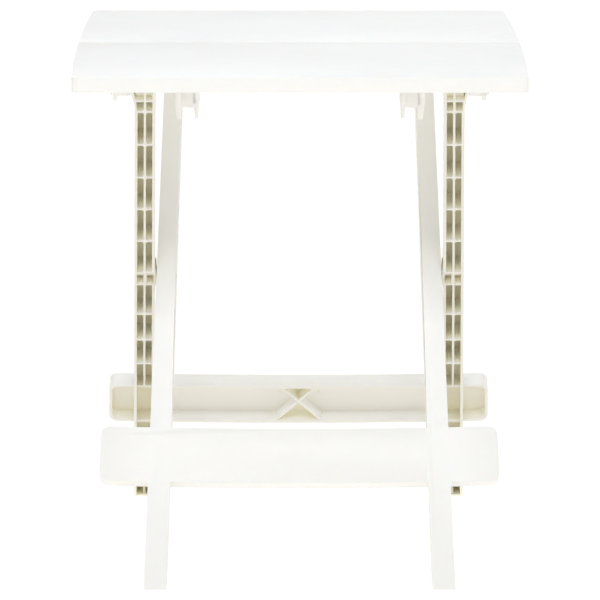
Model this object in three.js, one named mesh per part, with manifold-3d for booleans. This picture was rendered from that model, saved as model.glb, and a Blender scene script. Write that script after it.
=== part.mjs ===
// Folding picnic table: one moulded tabletop and two moulded H-shaped leg
// frames that cross at two pins and carry the top on a front hinge and a rear
// catch. Millimetres, +Z up, X across the table, +Y towards the back, origin on
// the floor under the middle of the tabletop.
import * as THREE from 'three';
import { mergeVertices } from 'three/addons/utils/BufferGeometryUtils.js';
import Module from 'manifold-3d';

const wasm = await Module();
wasm.setup();

// ---------------------------------------------------------------- dimensions
const HEIGHT = 500;            // floor to tabletop
const TOP_DEPTH = 450;         // front edge to back edge
const TOP_CORNER_W = 422;      // width at the four corners
const TOP_BULGE = 4.3;         // how far each side edge bows out
const TOP_CORNER_R = 6;
const RIM_DROP = 13.7;         // depth of the rim all round
const RIM_T = 3.2;             // rim wall
const SHEET_T = 3.5;           // tabletop sheet
const GROOVE_W = 2.2;          // groove between the two planks
const GROOVE_D = 0.7;
const RIB_T = 2.2;             // stiffening ribs under the sheet
const RIB_DROP = 8;

const PIVOT_Z = 273.5;         // height of the scissor pins
const FOOT_Y = 175;            // leg centre line at the floor
const LEG_T = 25;              // leg thickness, seen from the side
const SKIN = 2.5;              // smooth outer face of each leg
const WALL = 2.7;              // side walls of each leg
const RIB = 2.1;               // ribs inside each leg
const POST_R = 2.7;            // round posts where the ribs cross

const HINGE_Z = 475;           // front hinge axis
const PIN_R = 4;               // all four pins
const BORE_R = 4.3;
const HEAD_R = 6.2;
const HEAD_T = 1.4;

const BAR_HALF = 193.5;        // crossbars: half width
const BAR_DEPTH = 17;
const BAR_PANEL = 2.8;
const BAR_FLANGE = 2.8;
const BAR_SAG = 3;             // both edges bow down in the middle
const BAR_R = 9;
const REAR_BAR = [113.2, 166.3];   // bottom and top edge, along the leg
const FRONT_BAR = [102.4, 157.4];

const TIP_R = 217.6;           // pivot to the top end of the inner legs
const STUB_R = 205;            // pivot to the catch stubs
const STUB_RAD = 5;

// Leg frames: s runs up the leg from the floor, w across its thickness with the
// smooth face on +w, x is the lateral position.
const TH = Math.atan2(FOOT_Y, PIVOT_Z);
const SN = Math.sin(TH), CS = Math.cos(TH);
const S_PIVOT = Math.hypot(FOOT_Y, PIVOT_Z);
const HINGE_Y = -(HINGE_Z - PIVOT_Z) * Math.tan(TH);
const S_HINGE = S_PIVOT + Math.hypot(HINGE_Y, HINGE_Z - PIVOT_Z);
const rearMap = (x, s, w) => [x, FOOT_Y - s * SN + w * CS, s * CS + w * SN];
const frontMap = (x, s, w) => [x, -FOOT_Y + s * SN - w * CS, s * CS + w * SN];

// Inner and outer side faces of the right-hand leg of each frame.
const REAR = { map: rearMap, xi: (s) => 150.2 - 0.0245 * s, xo: (s) => 171.2 - 0.0272 * s };
const FRONT = { map: frontMap, xi: (s) => 127.4 - 0.0220 * s, xo: (s) => 149.0 - 0.0275 * s };

// ---------------------------------------------------------------- solids
function volume(pos, index) {
  let v = 0;
  const p = (i) => new THREE.Vector3(pos.getX(i), pos.getY(i), pos.getZ(i));
  for (let i = 0; i < index.count; i += 3) {
    const a = p(index.getX(i)), b = p(index.getX(i + 1)), c = p(index.getX(i + 2));
    v += a.dot(b.cross(c)) / 6;
  }
  return v;
}

function solid(geometry) {
  let g = geometry.clone();
  g.deleteAttribute('normal');
  g.deleteAttribute('uv');
  g = mergeVertices(g, 1e-4);
  const tris = Uint32Array.from(g.index.array);
  if (volume(g.attributes.position, g.index) < 0) {
    for (let i = 0; i < tris.length; i += 3) [tris[i], tris[i + 1]] = [tris[i + 1], tris[i]];
  }
  return new wasm.Manifold(new wasm.Mesh({
    numProp: 3,
    vertProperties: Float32Array.from(g.attributes.position.array),
    triVerts: tris,
  }));
}

function warp(g, fn) {
  const p = g.attributes.position;
  for (let i = 0; i < p.count; i++) p.setXYZ(i, ...fn(p.getX(i), p.getY(i), p.getZ(i)));
  return g;
}

// Block between two side faces given as functions of s.
function block(leg, f0, f1, s0, s1, w0, w1) {
  const g = new THREE.BoxGeometry(1, 1, 1);
  return solid(warp(g, (a, b, c) => {
    const s = b < 0 ? s0 : s1;
    return leg.map(a < 0 ? f0(s) : f1(s), s, c < 0 ? w0 : w1);
  }));
}

// Outline in the (s, w) plane carried across the leg from side face to side face.
function slab(leg, f0, f1, outline) {
  const shape = new THREE.Shape(outline.map(([s, w]) => new THREE.Vector2(s, w)));
  const g = new THREE.ExtrudeGeometry(shape, { depth: 1, bevelEnabled: false, steps: 1 });
  return solid(warp(g, (s, w, e) => leg.map(e < 0.5 ? f0(s) : f1(s), s, w)));
}

// Outline in the (y, z) plane between two x positions.
function plate(outline, x0, x1) {
  const shape = new THREE.Shape(outline.map(([y, z]) => new THREE.Vector2(y, z)));
  const g = new THREE.ExtrudeGeometry(shape, { depth: x1 - x0, bevelEnabled: false });
  return solid(warp(g, (y, z, e) => [x0 + e, y, z]));
}

// Plate whose thickness tapers from x0..x1 at zTop to t0..t1 at zBottom.
function taperPlate(outline, x0, x1, t0, t1, zTop, zBottom) {
  const shape = new THREE.Shape(outline.map(([y, z]) => new THREE.Vector2(y, z)));
  const g = new THREE.ExtrudeGeometry(shape, { depth: 1, bevelEnabled: false });
  return solid(warp(g, (y, z, e) => {
    const k = Math.min(1, Math.max(0, (z - zBottom) / (zTop - zBottom)));
    return [e < 0.5 ? t0 + (x0 - t0) * k : t1 + (x1 - t1) * k, y, z];
  }));
}

function box(x0, x1, y0, y1, z0, z1) {
  const g = new THREE.BoxGeometry(x1 - x0, y1 - y0, z1 - z0);
  g.translate((x0 + x1) / 2, (y0 + y1) / 2, (z0 + z1) / 2);
  return solid(g);
}

function cylX(y, z, r, x0, x1, seg = 28, r1 = r) {
  const g = new THREE.CylinderGeometry(r1, r, x1 - x0, seg);
  g.rotateZ(-Math.PI / 2);
  g.translate((x0 + x1) / 2, y, z);
  return solid(g);
}

// Round post standing across the thickness of a leg.
function post(leg, x, s, r, w0, w1, seg = 10) {
  const g = new THREE.CylinderGeometry(r, r, 1, seg);
  return solid(warp(g, (a, b, c) => leg.map(x + a, s + c, b < 0 ? w0 : w1)));
}

function both(m) {
  return m.add(m.mirror([1, 0, 0]));
}

// ---------------------------------------------------------------- legs
const halfT = LEG_T / 2;

function legEnd(leg, s, r, seg = 12) {
  // straight sides, rounded top end of radius r centred at s
  const pts = [[-30, -halfT], [s, -halfT]];
  if (r >= halfT) {
    for (let i = 1; i < seg * 2; i++) {
      const a = -Math.PI / 2 + (Math.PI * i) / (seg * 2);
      pts.push([s + halfT * Math.cos(a), halfT * Math.sin(a)]);
    }
  } else {
    for (let i = 0; i <= 6; i++) {
      const a = -Math.PI / 2 + (Math.PI / 2) * (i / 6);
      pts.push([s + r * Math.cos(a), -halfT + r + r * Math.sin(a)]);
    }
    for (let i = 0; i <= 6; i++) {
      const a = (Math.PI / 2) * (i / 6);
      pts.push([s + r * Math.cos(a), halfT - r + r * Math.sin(a)]);
    }
  }
  pts.push([s, halfT], [-30, halfT]);
  const seen = [];
  for (const p of pts) {
    const q = seen[seen.length - 1];
    if (!q || Math.hypot(p[0] - q[0], p[1] - q[1]) > 1e-3) seen.push(p);
  }
  return seen;
}

function legSolid(leg, outline, cells, posts) {
  let m = slab(leg, leg.xi, leg.xo, outline);
  const mid = (s) => (leg.xi(s) + leg.xo(s)) / 2;
  for (const [s0, s1] of cells) {
    const w1 = halfT - SKIN;
    m = m.subtract(block(leg, (s) => leg.xi(s) + WALL, (s) => mid(s) - RIB / 2, s0, s1, -halfT - 1, w1));
    m = m.subtract(block(leg, (s) => mid(s) + RIB / 2, (s) => leg.xo(s) - WALL, s0, s1, -halfT - 1, w1));
  }
  for (const s of posts) m = m.add(post(leg, mid(s), s, POST_R, -halfT, halfT - SKIN / 2));
  return m;
}

function cellsBetween(ribs) {
  const out = [];
  for (let i = 0; i + 1 < ribs.length; i++) out.push([ribs[i] + RIB / 2, ribs[i + 1] - RIB / 2]);
  return out;
}

// ---------------------------------------------------------------- crossbars
function barOutline(sLow, sHigh, inset) {
  const pts = [];
  const hx = BAR_HALF - inset, r = Math.max(1.5, BAR_R - inset);
  const lo = sLow + inset, hi = sHigh - inset;
  const slant = (s) => hx - 1.2 * ((s - lo) / (hi - lo));
  const n = 12;
  const sag = (x) => -BAR_SAG * (1 - (x / BAR_HALF) ** 2);
  const corner = (cx, cs, a0) => {
    for (let i = 0; i <= 5; i++) {
      const a = a0 + (Math.PI / 2) * (i / 5);
      const x = cx + r * Math.cos(a);
      pts.push([x, cs + r * Math.sin(a) + sag(x)]);
    }
  };
  corner(slant(lo) - r, lo + r, -Math.PI / 2);
  corner(slant(hi) - r, hi - r, 0);
  for (let i = 1; i < n; i++) {
    const x = (slant(hi) - r) * (1 - (2 * i) / n);
    pts.push([x, hi + sag(x)]);
  }
  corner(-slant(hi) + r, hi - r, Math.PI / 2);
  corner(-slant(lo) + r, lo + r, Math.PI);
  for (let i = 1; i < n; i++) {
    const x = -(slant(lo) - r) * (1 - (2 * i) / n);
    pts.push([x, lo + sag(x)]);
  }
  return pts;
}

function barPrism(leg, outline, w0, w1) {
  const shape = new THREE.Shape(outline.map(([x, s]) => new THREE.Vector2(x, s)));
  const g = new THREE.ExtrudeGeometry(shape, { depth: 1, bevelEnabled: false });
  return solid(warp(g, (x, s, e) => leg.map(x, s, e < 0.5 ? w0 : w1)));
}

function crossbar(leg, [lo, hi]) {
  const w0 = halfT - BAR_DEPTH;
  let m = barPrism(leg, barOutline(lo, hi, 0), w0, halfT);
  m = m.subtract(barPrism(leg, barOutline(lo, hi, BAR_FLANGE), w0 - 1, halfT - BAR_PANEL));
  // crossed ribs in the middle of the hollow side
  const c = (lo + hi) / 2 - BAR_SAG;
  const h = (hi - lo) / 2 - 1;
  for (const k of [1, -1]) {
    const bar = new THREE.BoxGeometry(1, 1, 1);
    m = m.add(solid(warp(bar, (a, b, d) => {
      const top = b > 0;
      const x = (top ? 19 : -23.5) * k + (a < 0 ? -1.3 : 1.3);
      return leg.map(x, c + (top ? h : -h), d < 0 ? w0 + 2 : halfT - BAR_PANEL / 2);
    })));
  }
  for (const x of [-20.5, 20.5]) m = m.add(post(leg, x, c + 4, 1.7, halfT - BAR_PANEL - 0.8, halfT - 1, 8));
  return m;
}

const floor = box(-300, 300, -400, 400, -80, 0);

// ---------------------------------------------------------------- rear frame
// Outer pair of legs: feet at the back, hinge eyes at the front top.
const rearRibs = [205.2, 238.9, 275.2, S_PIVOT - 8.4, S_PIVOT + 7.6, 375.6, 418.3, 460.3, 502.9, 545.1, 558.7];
const rearLow = [36, 61.5, 87];
const REAR_TIP = 15;            // leg end beyond the hinge axis
const FLARE_S = 552, FLARE = 0.2;
const inX = (leg, extra = 0) => (s) => leg.xi(s) + WALL + extra;
const outX = (leg, extra = 0) => (s) => leg.xo(s) - WALL + extra;
const midX = (leg, d) => (s) => (leg.xi(s) + leg.xo(s)) / 2 + d;
const flared = (d) => (s) => REAR.xo(s) + Math.max(0, s - FLARE_S) * FLARE + d;

// Open channel beside a crossbar: the rib in the middle of the leg fades out
// above the bar, and the bar's two flanges cross the leg below its open face.
function barZone(leg, m, bar, sTop, sLow) {
  const w0 = halfT - BAR_DEPTH;
  m = m.subtract(block(leg, inX(leg), outX(leg), sLow, sTop, -halfT - 1, w0));
  m = m.subtract(block(leg, inX(leg), outX(leg), bar[1] - 1, sTop, w0 - 1, halfT - SKIN));
  m = m.subtract(block(leg, inX(leg), outX(leg), bar[0] + BAR_FLANGE - 1.6, bar[1] - BAR_FLANGE - 1, w0 - 1, halfT - BAR_PANEL));
  m = m.subtract(block(leg, inX(leg), outX(leg), sLow, bar[0] - 1.6, w0 - 1, halfT - SKIN));
  const fin = [[sTop + 0.5, -halfT], [sTop + 0.5, halfT - 1], [bar[1] - 2, halfT - 1], [bar[1] - 2, w0], [bar[1] + 5, w0]];
  return m.add(slab(leg, midX(leg, -RIB / 2), midX(leg, RIB / 2), fin));
}

// Hollow foot: open on the ribbed side, closed by a sole, with a gusset that
// slopes from the sole up to the smooth side.
const sole = box(-300, 300, -400, 400, -80, 2.3);
function hollowFoot(leg, m, sTop) {
  m = m.subtract(block(leg, inX(leg), outX(leg), -14, sTop, -halfT - 1, halfT - SKIN).subtract(sole));
  const gusset = [[-12, -halfT + 1], [3, -halfT + 2.5], [26, 4], [26, halfT - 1], [-12, halfT - 1]];
  return m.add(slab(leg, midX(leg, -RIB / 2), midX(leg, RIB / 2), gusset));
}

let rearLeg = slab(REAR, REAR.xi, REAR.xo, legEnd(REAR, S_HINGE + REAR_TIP - 9, 9));
rearLeg = rearLeg.add(slab(REAR, (s) => REAR.xo(s) - 1, flared(0), [
  [FLARE_S, -halfT], [S_HINGE + 6, -halfT], [S_HINGE + REAR_TIP - 4, -halfT + 4], [S_HINGE + REAR_TIP - 4, halfT - 4],
  [S_HINGE + 6, halfT], [FLARE_S, halfT]]));
for (const [s0, s1] of [...cellsBetween(rearRibs), ...cellsBetween(rearLow)]) {
  const w1 = halfT - SKIN;
  const pivotCell = s0 < S_PIVOT && s1 > S_PIVOT;
  rearLeg = rearLeg.subtract(block(REAR, inX(REAR), midX(REAR, pivotCell ? -RIB : -RIB / 2), s0, s1, -halfT - 1, w1));
  rearLeg = rearLeg.subtract(block(REAR, midX(REAR, RIB / 2), s1 < 550 ? outX(REAR) : flared(-WALL + 0.5), s0, s1, -halfT - 1, w1));
}
rearLeg = rearLeg.subtract(block(REAR, inX(REAR), midX(REAR, -RIB / 2), 558.7 + RIB / 2, S_HINGE + REAR_TIP - 2.6, -halfT - 1, halfT - SKIN));
rearLeg = rearLeg.subtract(block(REAR, midX(REAR, RIB / 2), flared(-1.9), 558.7 + RIB / 2, S_HINGE + 9, -halfT - 1, halfT - SKIN));
for (const s of [238.9, 275.2, 375.6, 418.3, 460.3, 502.9, 545.1]) {
  rearLeg = rearLeg.add(post(REAR, midX(REAR, 0)(s), s, POST_R, -halfT, halfT - SKIN / 2));
}
rearLeg = barZone(REAR, rearLeg, REAR_BAR, 205.2 - RIB / 2, 87 + RIB / 2);
rearLeg = hollowFoot(REAR, rearLeg, 36 - RIB / 2);
// eye for the hinge pin, hollow spacer towards the front frame at the scissor pin
rearLeg = rearLeg.add(cylX(HINGE_Y, HINGE_Z, 7.2, REAR.xi(S_HINGE) + 0.5, REAR.xo(S_HINGE) - 0.5));
const spacerX = FRONT.xo(S_PIVOT) + 0.9;
rearLeg = rearLeg.add(block(REAR, () => spacerX, (s) => REAR.xi(s) + WALL, S_PIVOT - 9.4, S_PIVOT + 8.6, -halfT + 0.4, 8));
rearLeg = rearLeg.subtract(block(REAR, () => spacerX + 2.4, (s) => REAR.xi(s) + WALL + 0.5, S_PIVOT - 7.3, S_PIVOT + 6.5, -halfT - 1, 5.6));
rearLeg = rearLeg.add(cylX(0, PIVOT_Z, 5.8, spacerX + 1, REAR.xo(S_PIVOT) - 0.5));
rearLeg = rearLeg.subtract(cylX(0, PIVOT_Z, BORE_R, 100, 200));
rearLeg = rearLeg.subtract(cylX(0, PIVOT_Z, HEAD_R + 0.3, REAR.xo(S_PIVOT) - HEAD_T - 0.2, 200));
rearLeg = rearLeg.subtract(cylX(HINGE_Y, HINGE_Z, BORE_R, 100, 200));
const rearFrame = both(rearLeg).add(crossbar(REAR, REAR_BAR)).subtract(floor);

// ---------------------------------------------------------------- front frame
// Inner pair of legs: feet at the front, catch stubs at the back top.
const frontLow = [36, 61.5, 87];
const frontHigh = [196, 234, 275.2, S_PIVOT - 9, S_PIVOT + 9, 375.6, 418.3, 460.3, 502.9, S_PIVOT + STUB_R - 7, S_PIVOT + TIP_R - 1.2];
let frontLeg = legSolid(
  FRONT,
  legEnd(FRONT, S_PIVOT + TIP_R - 4, 4),
  [...cellsBetween(frontLow), ...cellsBetween(frontHigh)],
  [234, 275.2, 375.6, 418.3, 460.3, 502.9],
);
// the end of the leg is narrower on its inner side, to pass the hinge brackets
frontLeg = frontLeg.subtract(block(FRONT, () => 100, () => 119.1, 512, 560, -halfT - 1, halfT + 1));
frontLeg = frontLeg.add(block(FRONT, () => 119.1, () => 119.3 + WALL, 506, S_PIVOT + TIP_R - 5, -halfT + 0.3, halfT - 0.3));
frontLeg = barZone(FRONT, frontLeg, FRONT_BAR, 196 - RIB / 2, 87 + RIB / 2);
frontLeg = hollowFoot(FRONT, frontLeg, 36 - RIB / 2);
const [, STUB_Y, STUB_Z] = frontMap(0, S_PIVOT + STUB_R, 0);
frontLeg = frontLeg.add(cylX(STUB_Y, STUB_Z, STUB_RAD, 103.5, FRONT.xo(S_PIVOT + STUB_R) - 1, 32));
frontLeg = frontLeg.add(cylX(0, PIVOT_Z, 7.6, FRONT.xi(S_PIVOT) + 0.5, FRONT.xo(S_PIVOT) - 0.5));
frontLeg = frontLeg.subtract(cylX(0, PIVOT_Z, BORE_R, 100, 200));
const frontFrame = both(frontLeg).add(crossbar(FRONT, FRONT_BAR)).subtract(floor);

// ---------------------------------------------------------------- tabletop
function topOutline(inset) {
  const hw = TOP_CORNER_W / 2 - inset, hd = TOP_DEPTH / 2 - inset;
  const r = Math.max(2, TOP_CORNER_R - inset);
  const pts = [];
  const bulge = (y) => TOP_BULGE * (1 - (y / (TOP_DEPTH / 2)) ** 2);
  const corner = (cx, cy, a0) => {
    for (let i = 0; i <= 5; i++) {
      const a = a0 + (Math.PI / 2) * (i / 5);
      const y = cy + r * Math.sin(a);
      pts.push([cx + r * Math.cos(a) + Math.sign(cx) * bulge(y), y]);
    }
  };
  const n = 14;
  corner(hw - r, -hd + r, -Math.PI / 2);
  for (let i = 1; i < n; i++) {
    const y = (-hd + r) * (1 - (2 * i) / n);
    pts.push([hw + bulge(y), y]);
  }
  corner(hw - r, hd - r, 0);
  corner(-hw + r, hd - r, Math.PI / 2);
  for (let i = 1; i < n; i++) {
    const y = (hd - r) * (1 - (2 * i) / n);
    pts.push([-hw - bulge(y), y]);
  }
  corner(-hw + r, -hd + r, Math.PI);
  return pts;
}

function upright(outline, z0, z1) {
  const shape = new THREE.Shape(outline.map(([x, y]) => new THREE.Vector2(x, y)));
  const g = new THREE.ExtrudeGeometry(shape, { depth: z1 - z0, bevelEnabled: false });
  g.translate(0, 0, z0);
  return solid(g);
}

const SHEET_Z = HEIGHT - SHEET_T;
const RIB_Z = SHEET_Z - RIB_DROP;
let tabletop = upright(topOutline(0), HEIGHT - RIM_DROP, HEIGHT)
  .subtract(upright(topOutline(RIM_T), HEIGHT - RIM_DROP - 1, SHEET_Z))
  .subtract(box(-230, 230, -GROOVE_W / 2, GROOVE_W / 2, HEIGHT - GROOVE_D, HEIGHT + 1));
// stiffening ribs, with a clear lane each side for the ends of the inner legs
const ribs = [];
for (const x of [-182, -88, -44, 0, 44, 88, 182]) ribs.push([x - RIB_T / 2, x + RIB_T / 2, -223, 223]);
for (const y of [-184, -92, -46, 0, 46, 92, 138, 184]) {
  ribs.push([-112, 112, y - RIB_T / 2, y + RIB_T / 2]);
  ribs.push([142, 209, y - RIB_T / 2, y + RIB_T / 2]);
  ribs.push([-209, -142, y - RIB_T / 2, y + RIB_T / 2]);
}
for (const [x0, x1, y0, y1] of ribs) tabletop = tabletop.add(box(x0, x1, y0, y1, RIB_Z, SHEET_Z + 1));

// front hinge brackets: a clevis inboard of the legs, a pair of ears outboard
const ear = (hw, bottom, tip) => [
  [HINGE_Y - tip, bottom], [HINGE_Y + tip, bottom], [HINGE_Y + hw, bottom + 16],
  [HINGE_Y + hw + 3, SHEET_Z + 0.5], [HINGE_Y - hw - 3, SHEET_Z + 0.5], [HINGE_Y - hw, bottom + 16],
];
let brackets = plate([[HINGE_Y - 8, 458], [HINGE_Y + 8, 458], [HINGE_Y + 9.5, SHEET_Z + 0.5], [HINGE_Y - 9.5, SHEET_Z + 0.5]], 97, 115);
brackets = brackets.add(taperPlate(ear(9, 447, 4), 94.7, 100.4, 96.3, 99, 463, 447));
brackets = brackets.add(taperPlate(ear(9, 446, 4), 111.8, 118.4, 112.3, 116.4, 463, 446));
brackets = brackets.add(plate([[HINGE_Y - 7, 469], [HINGE_Y + 7, 469], [HINGE_Y + 9, SHEET_Z + 0.5], [HINGE_Y - 9, SHEET_Z + 0.5]], 160.4, 176));
brackets = brackets.add(taperPlate(ear(8, 464.3, 5), 172.4, 177.1, 173, 176.4, 471, 464.3));
brackets = brackets.subtract(cylX(HINGE_Y, HINGE_Z, BORE_R, 80, 200));

// rear catches: hook over the stubs of the inner legs
const hook = (r, w) => frontMap(0, S_PIVOT + r, w).slice(1);
const roof = STUB_R + STUB_RAD + 0.3;
const roofZ = (y, r = roof) => PIVOT_Z + (r - y * SN) / CS;
const stopY = STUB_Y + STUB_RAD + 0.35;
const catchOutline = [
  hook(roof, 13), [stopY, roofZ(stopY)], [stopY, STUB_Z - 7], [stopY + 5, STUB_Z - 9], [stopY + 7.5, STUB_Z - 7],
  [142, SHEET_Z + 0.5], [92, SHEET_Z + 0.5],
];
let hooks = plate(catchOutline, 104.2, 114.8);
hooks = hooks.subtract(plate([
  hook(roof + 3, 12), [stopY + 3, roofZ(stopY + 3, roof + 3)], [stopY + 3, STUB_Z], [stopY + 40, STUB_Z], [150, SHEET_Z - 3], [90, SHEET_Z - 3],
], 106.9, 112.1));
brackets = brackets.add(hooks);
tabletop = tabletop.add(both(brackets));

// ---------------------------------------------------------------- pins
const scissorPin = cylX(0, PIVOT_Z, PIN_R, FRONT.xi(S_PIVOT) + 0.4, REAR.xo(S_PIVOT) - HEAD_T)
  .add(cylX(0, PIVOT_Z, HEAD_R, REAR.xo(S_PIVOT) - HEAD_T, REAR.xo(S_PIVOT) - 0.1));
const hingePin = cylX(HINGE_Y, HINGE_Z, PIN_R, 93.6, 177.5)
  .add(cylX(HINGE_Y, HINGE_Z, 5.6, 177.4, 179.4));

// ---------------------------------------------------------------- scene graph
const white = (name, color = 0xf4f4f1, roughness = 0.42) => {
  const m = new THREE.MeshStandardMaterial({ color, roughness, metalness: 0 });
  m.name = name;
  return m;
};
const materials = {
  tabletop: white('tabletop_plastic'),
  rear: white('rear_frame_plastic', 0xf4f4f0),
  front: white('front_frame_plastic', 0xf4f4f0),
  pin: white('pin_plastic', 0xefefea, 0.36),
};

function mesh(name, manifold, material) {
  const { numProp, vertProperties, triVerts } = manifold.getMesh();
  const g = new THREE.BufferGeometry();
  const pos = new Float32Array((vertProperties.length / numProp) * 3);
  for (let i = 0, j = 0; i < vertProperties.length; i += numProp, j += 3) {
    pos.set(vertProperties.subarray(i, i + 3), j);
  }
  g.setAttribute('position', new THREE.BufferAttribute(pos, 3));
  g.setIndex(new THREE.BufferAttribute(triVerts.slice(), 1));
  g.computeVertexNormals();
  const m = new THREE.Mesh(g, material);
  m.name = name;
  return m;
}

const group = new THREE.Group();
group.name = 'folding_picnic_table';
group.add(
  mesh('tabletop', tabletop, materials.tabletop),
  mesh('rear_leg_frame', rearFrame, materials.rear),
  mesh('front_leg_frame', frontFrame, materials.front),
  mesh('scissor_pin_right', scissorPin, materials.pin),
  mesh('scissor_pin_left', scissorPin.mirror([1, 0, 0]), materials.pin),
  mesh('hinge_pin_right', hingePin, materials.pin),
  mesh('hinge_pin_left', hingePin.mirror([1, 0, 0]), materials.pin),
);

export default group;
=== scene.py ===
import math

import bpy
from mathutils import Matrix, Vector

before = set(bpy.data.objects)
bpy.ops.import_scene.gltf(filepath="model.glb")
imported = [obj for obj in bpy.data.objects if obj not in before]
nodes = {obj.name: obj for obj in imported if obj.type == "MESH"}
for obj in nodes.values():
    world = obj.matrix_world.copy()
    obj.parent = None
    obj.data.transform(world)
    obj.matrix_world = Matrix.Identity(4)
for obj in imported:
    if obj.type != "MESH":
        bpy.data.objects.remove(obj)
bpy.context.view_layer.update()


# ------------------------------------------------------------------ materials
class Nodes:
    """Small helper that adds shader nodes and links them."""

    def __init__(self, name):
        self.mat = bpy.data.materials.new(name)
        self.mat.use_nodes = True
        self.tree = self.mat.node_tree
        self.tree.nodes.clear()
        self.out = self.add("ShaderNodeOutputMaterial")
        self.bsdf = self.add("ShaderNodeBsdfPrincipled")
        self.link(self.bsdf.outputs["BSDF"], self.out.inputs["Surface"])
        tex = self.add("ShaderNodeTexCoord")
        self.coord, self.normal = tex.outputs["Object"], tex.outputs["Normal"]

    def add(self, kind, **settings):
        n = self.tree.nodes.new(kind)
        for k, v in settings.items():
            setattr(n, k, v)
        return n

    def link(self, a, b):
        self.tree.links.new(a, b)

    def mapping(self, scale, rotation=(0, 0, 0), location=(0, 0, 0)):
        m = self.add("ShaderNodeMapping")
        m.inputs["Scale"].default_value = scale
        m.inputs["Rotation"].default_value = rotation
        m.inputs["Location"].default_value = location
        self.link(self.coord, m.inputs["Vector"])
        return m.outputs["Vector"]

    def noise(self, vector, scale, detail=3.0, rough=0.5, distortion=0.0):
        n = self.add("ShaderNodeTexNoise")
        n.inputs["Scale"].default_value = scale
        n.inputs["Detail"].default_value = detail
        n.inputs["Roughness"].default_value = rough
        n.inputs["Distortion"].default_value = distortion
        self.link(vector, n.inputs["Vector"])
        return n.outputs["Fac"]

    def ramp(self, fac, stops, interpolation="LINEAR"):
        r = self.add("ShaderNodeValToRGB")
        r.color_ramp.interpolation = interpolation
        while len(r.color_ramp.elements) < len(stops):
            r.color_ramp.elements.new(0.5)
        for e, (pos, col) in zip(r.color_ramp.elements, stops):
            e.position = pos
            e.color = (col, col, col, 1) if isinstance(col, (int, float)) else (*col, 1)
        self.link(fac, r.inputs["Fac"])
        return r.outputs["Color"]

    def math(self, op, a, b=None, clamp=False):
        m = self.add("ShaderNodeMath", operation=op, use_clamp=clamp)
        for socket, value in zip(m.inputs, (a, b)):
            if value is None:
                continue
            if isinstance(value, (int, float)):
                socket.default_value = value
            else:
                self.link(value, socket)
        return m.outputs["Value"]

    def mix(self, fac, a, b, blend="MIX"):
        m = self.add("ShaderNodeMix", data_type="RGBA", blend_type=blend)
        for socket, value in ((m.inputs[0], fac), (m.inputs[6], a), (m.inputs[7], b)):
            if isinstance(value, (int, float)):
                socket.default_value = value
            elif isinstance(value, tuple):
                socket.default_value = (*value, 1)
            else:
                self.link(value, socket)
        return m.outputs[2]

    def bump(self, height, strength, distance, normal=None):
        b = self.add("ShaderNodeBump")
        b.inputs["Strength"].default_value = strength
        b.inputs["Distance"].default_value = distance
        self.link(height, b.inputs["Height"])
        if normal is not None:
            self.link(normal, b.inputs["Normal"])
        return b.outputs["Normal"]


LIT = (0.916, 0.909, 0.882)
EDGE = (0.93, 0.925, 0.905)
# warm tone painted into recesses as painted shade
PAINTED_CAVITY_TONE = (0.955, 0.921, 0.75)
# darker cream copy of the plastic, used as painted shade on the shaded side
PAINTED_SHADE_CREAM = (0.822, 0.808, 0.752)


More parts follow.
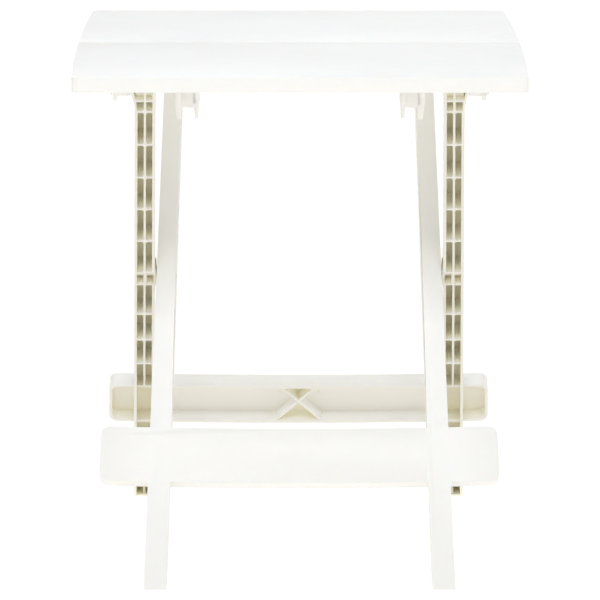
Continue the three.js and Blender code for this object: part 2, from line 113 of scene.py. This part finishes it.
def plastic(name, lit=LIT, grain=False, seed=0.0, rough=(0.40, 0.54), painted_shade_dir=None):
    n = Nodes(name)
    place = n.mapping((1, 1, 1), location=(seed, seed * 0.7, seed * 1.3))
    # slow mottling of the resin and its flow marks
    mottle = n.ramp(n.noise(place, 14, 3, 0.55), [(0.35, 0.0), (0.68, 1.0)])
    base = n.mix(n.math("MULTIPLY", mottle, 0.22), lit, tuple(c * k for c, k in zip(lit, (0.985, 0.984, 0.975))))
    # rubbed, slightly lighter edges
    geo = n.add("ShaderNodeNewGeometry")
    edge = n.ramp(geo.outputs["Pointiness"], [(0.515, 0.0), (0.58, 1.0)])
    scuff = n.ramp(n.noise(place, 90, 4, 0.6), [(0.42, 0.0), (0.62, 1.0)])
    worn = n.math("MULTIPLY", edge, n.math("ADD", n.math("MULTIPLY", scuff, 0.6), 0.4))
    base = n.mix(n.math("MULTIPLY", worn, 0.6), base, EDGE)
    if painted_shade_dir:
        # painted shade: the ribbed inner side, picked by the direction its faces turn to, is painted a darker cream
        # that stands in for the shade it sits in
        facing = n.add("ShaderNodeVectorMath", operation="DOT_PRODUCT")
        n.link(n.normal, facing.inputs[0])
        facing.inputs[1].default_value = painted_shade_dir
        painted_shade_mask = n.ramp(facing.outputs["Value"], [(0.30, 0.0), (0.75, 1.0)])
        painted_shade_colour = n.mix(n.math("MULTIPLY", mottle, 0.4), PAINTED_SHADE_CREAM, tuple(c * k for c, k in zip(PAINTED_SHADE_CREAM, (0.99, 0.985, 0.97))))
        base = n.mix(painted_shade_mask, base, painted_shade_colour)
    # painted shade: a warm tone painted into the recessed cells and under the top through an ambient-occlusion mask,
    # standing in for the light that gathers there
    near = n.add("ShaderNodeAmbientOcclusion", samples=12)
    near.inputs["Distance"].default_value = 0.03
    painted_cavity_mask = n.ramp(near.outputs["AO"], [(0.24, 1.0), (0.58, 0.0)])
    base = n.mix(n.math("MULTIPLY", painted_cavity_mask, 0.9), base, PAINTED_CAVITY_TONE)
    # fine dust specks
    speck = n.ramp(n.noise(place, 900, 1, 0.4), [(0.735, 0.0), (0.76, 1.0)])
    base = n.mix(n.math("MULTIPLY", speck, 0.10), base, (0.62, 0.6, 0.55))
    n.link(base, n.bsdf.inputs["Base Color"])
    # satin skin of the moulding
    r = n.add("ShaderNodeMapRange")
    r.inputs["To Min"].default_value = rough[0]
    r.inputs["To Max"].default_value = rough[1]
    n.link(n.noise(place, 60, 4, 0.6), r.inputs["Value"])
    rr = n.math("SUBTRACT", r.outputs["Result"], n.math("MULTIPLY", worn, 0.06))
    n.link(rr, n.bsdf.inputs["Roughness"])
    # spark-eroded mould texture
    normal = n.bump(n.noise(place, 1600, 2, 0.5), 0.10, 0.00012)
    normal = n.bump(n.noise(place, 45, 2, 0.5), 0.10, 0.0006, normal)
    if grain:
        # embossed wood grain: long strokes across the table, on upward faces only
        up = n.add("ShaderNodeSeparateXYZ")
        n.link(n.normal, up.inputs[0])
        flat = n.math("GREATER_THAN", up.outputs["Z"], 0.9)
        long = n.mapping((1.0, 26.0, 1.0))
        strokes = n.ramp(n.noise(long, 9.5, 5, 0.62, 0.35), [(0.50, 0.0), (0.56, 1.0), (0.60, 1.0), (0.66, 0.0)])
        fine = n.ramp(n.noise(n.mapping((1.0, 60.0, 1.0), location=(0.4, 0.2, 0)), 16, 3, 0.6), [(0.54, 0.0), (0.60, 1.0)])
        patch = n.ramp(n.noise(n.mapping((1.0, 2.2, 1.0), location=(2.0, 1.0, 0)), 5.0, 2, 0.5), [(0.40, 0.12), (0.60, 1.0)])
        broad = n.ramp(n.noise(n.mapping((1.0, 9.0, 1.0), location=(1.1, 0.6, 0)), 8.0, 3, 0.5, 0.25), [(0.505, 0.0), (0.525, 1.0), (0.545, 1.0), (0.565, 0.0)])
        thin = n.math("ADD", n.math("MULTIPLY", strokes, 0.55), n.math("MULTIPLY", fine, 0.35))
        lines = n.math("ADD", thin, n.math("MULTIPLY", broad, 0.8), clamp=True)
        depth = n.math("MULTIPLY", n.math("MULTIPLY", lines, patch), flat)
        normal = n.bump(n.math("SUBTRACT", 1.0, depth), 0.55, 0.0005, normal)
        base = n.mix(n.math("MULTIPLY", depth, 0.22), base, (0.80, 0.79, 0.76))
        n.link(base, n.bsdf.inputs["Base Color"])
    n.link(normal, n.bsdf.inputs["Normal"])
    n.bsdf.inputs["IOR"].default_value = 1.48
    n.bsdf.inputs["Specular IOR Level"].default_value = 0.42
    n.bsdf.inputs["Subsurface Weight"].default_value = 0.12
    n.bsdf.inputs["Subsurface Radius"].default_value = (0.004, 0.003, 0.0016)
    n.bsdf.inputs["Subsurface Scale"].default_value = 1.0
    return n.mat


# each vector below is the side of that part painted with shade
materials = {
    "tabletop": plastic("tabletop_plastic", lit=(0.888, 0.882, 0.858), grain=True, seed=0.0, painted_shade_dir=(0.0, 0.0, -1.0)),
    "rear_leg_frame": plastic("rear_frame_plastic", seed=3.1, painted_shade_dir=(0.0, -0.842, -0.539)),
    "front_leg_frame": plastic("front_frame_plastic", seed=7.7, painted_shade_dir=(0.0, 0.842, -0.539)),
}
pin = plastic("pin_plastic", lit=(0.89, 0.885, 0.87), seed=11.0, rough=(0.30, 0.40))
for name, obj in nodes.items():
    mat = materials.get(name, pin)
    obj.data.materials.clear()
    obj.data.materials.append(mat)
    weld = obj.modifiers.new("weld", "WELD")
    weld.merge_threshold = 1e-6
    bevel = obj.modifiers.new("soft_edges", "BEVEL")
    bevel.width = 0.0005
    bevel.segments = 2
    bevel.limit_method = "ANGLE"
    bevel.angle_limit = math.radians(28)
    bevel.use_clamp_overlap = True
    bevel.harden_normals = True
    for poly in obj.data.polygons:
        poly.use_smooth = True

# ------------------------------------------------------------------ stage
def floor_material():
    n = Nodes("studio_floor")
    tone = n.ramp(n.noise(n.mapping((1, 1, 1)), 1.4, 2, 0.5), [(0.3, (0.10, 0.10, 0.10)), (0.7, (0.12, 0.12, 0.12))])
    n.link(tone, n.bsdf.inputs["Base Color"])
    n.bsdf.inputs["Roughness"].default_value = 0.85
    n.bsdf.inputs["Specular IOR Level"].default_value = 0.1
    # back-lit white acrylic: it lights the table evenly from below and takes no shadow
    n.bsdf.inputs["Emission Color"].default_value = (1.0, 0.98, 0.945, 1)
    n.bsdf.inputs["Emission Strength"].default_value = 1.0
    return n.mat


mesh = bpy.data.meshes.new("studio_floor")
size, ring = 14.0, 24
verts = [(-size + 2 * size * i / ring, -size + 2 * size * j / ring, -0.0004) for j in range(ring + 1) for i in range(ring + 1)]
faces = [(j * (ring + 1) + i, j * (ring + 1) + i + 1, (j + 1) * (ring + 1) + i + 1, (j + 1) * (ring + 1) + i) for j in range(ring) for i in range(ring)]
mesh.from_pydata(verts, [], faces)
mesh.materials.append(floor_material())
floor = bpy.data.objects.new("studio_floor", mesh)
bpy.context.scene.collection.objects.link(floor)

world = bpy.data.worlds.new("studio")
world.use_nodes = True
wt = world.node_tree
direction = wt.nodes.new("ShaderNodeTexCoord").outputs["Generated"]
height = wt.nodes.new("ShaderNodeSeparateXYZ")
wt.links.new(direction, height.inputs[0])
# the studio wall is as white as the floor where they meet and dims upwards
wall = wt.nodes.new("ShaderNodeValToRGB")
while len(wall.color_ramp.elements) < 4:
    wall.color_ramp.elements.new(0.5)
for stop, (at, level) in zip(wall.color_ramp.elements, ((0.0, 1.02), (0.05, 1.0), (0.24, 0.52), (1.0, 0.52))):
    stop.position = at
    stop.color = (level, level * 0.994, level * 0.975, 1)
wt.links.new(height.outputs["Z"], wall.inputs["Fac"])
wt.links.new(wall.outputs["Color"], wt.nodes["Background"].inputs["Color"])
wt.nodes["Background"].inputs["Strength"].default_value = 1.0
bpy.context.scene.world = world


def area(name, location, target, size_x, size_y, power, color=(1, 1, 1)):
    light = bpy.data.lights.new(name, "AREA")
    light.shape = "RECTANGLE"
    light.size, light.size_y = size_x, size_y
    light.energy = power
    light.color = color
    obj = bpy.data.objects.new(name, light)
    obj.location = location
    obj.rotation_euler = (Vector(target) - Vector(location)).to_track_quat("-Z", "Y").to_euler()
    bpy.context.scene.collection.objects.link(obj)
    return obj


area("key_front", (0.0, -2.5, 2.9), (0, 0, 0.2), 1.8, 1.0, 43, (0.89, 0.925, 0.995))
area("overhead", (0.0, 1.2, 3.2), (0, 0, 0.3), 2.6, 2.6, 46, (0.89, 0.925, 0.995))
bpy.context.scene.view_settings.view_transform = "Standard"
bpy.context.scene.view_settings.look = "None"

# ------------------------------------------------------------------ camera
f_px, yaw, pitch, roll = 4061.15, -0.0043, 0.2099, 0.0008
cam_data = bpy.data.cameras.new("camera")
cam_data.sensor_width = 36.0
cam_data.lens = f_px / 600 * 36
cam_data.clip_end = 100
cam = bpy.data.objects.new("camera", cam_data)
right = Vector((math.cos(yaw), math.sin(yaw), 0))
forward = Vector((-math.sin(yaw) * math.cos(pitch), math.cos(yaw) * math.cos(pitch), -math.sin(pitch)))
up = right.cross(forward)
a = right * math.cos(roll) + up * math.sin(roll)
b = up * math.cos(roll) - right * math.sin(roll)
m = Matrix((a, b, -forward)).transposed().to_4x4()
m.translation = Vector((-0.0158806, -3.9296469, 1.0800366))
cam.matrix_world = m
bpy.context.scene.collection.objects.link(cam)
bpy.context.scene.camera = cam
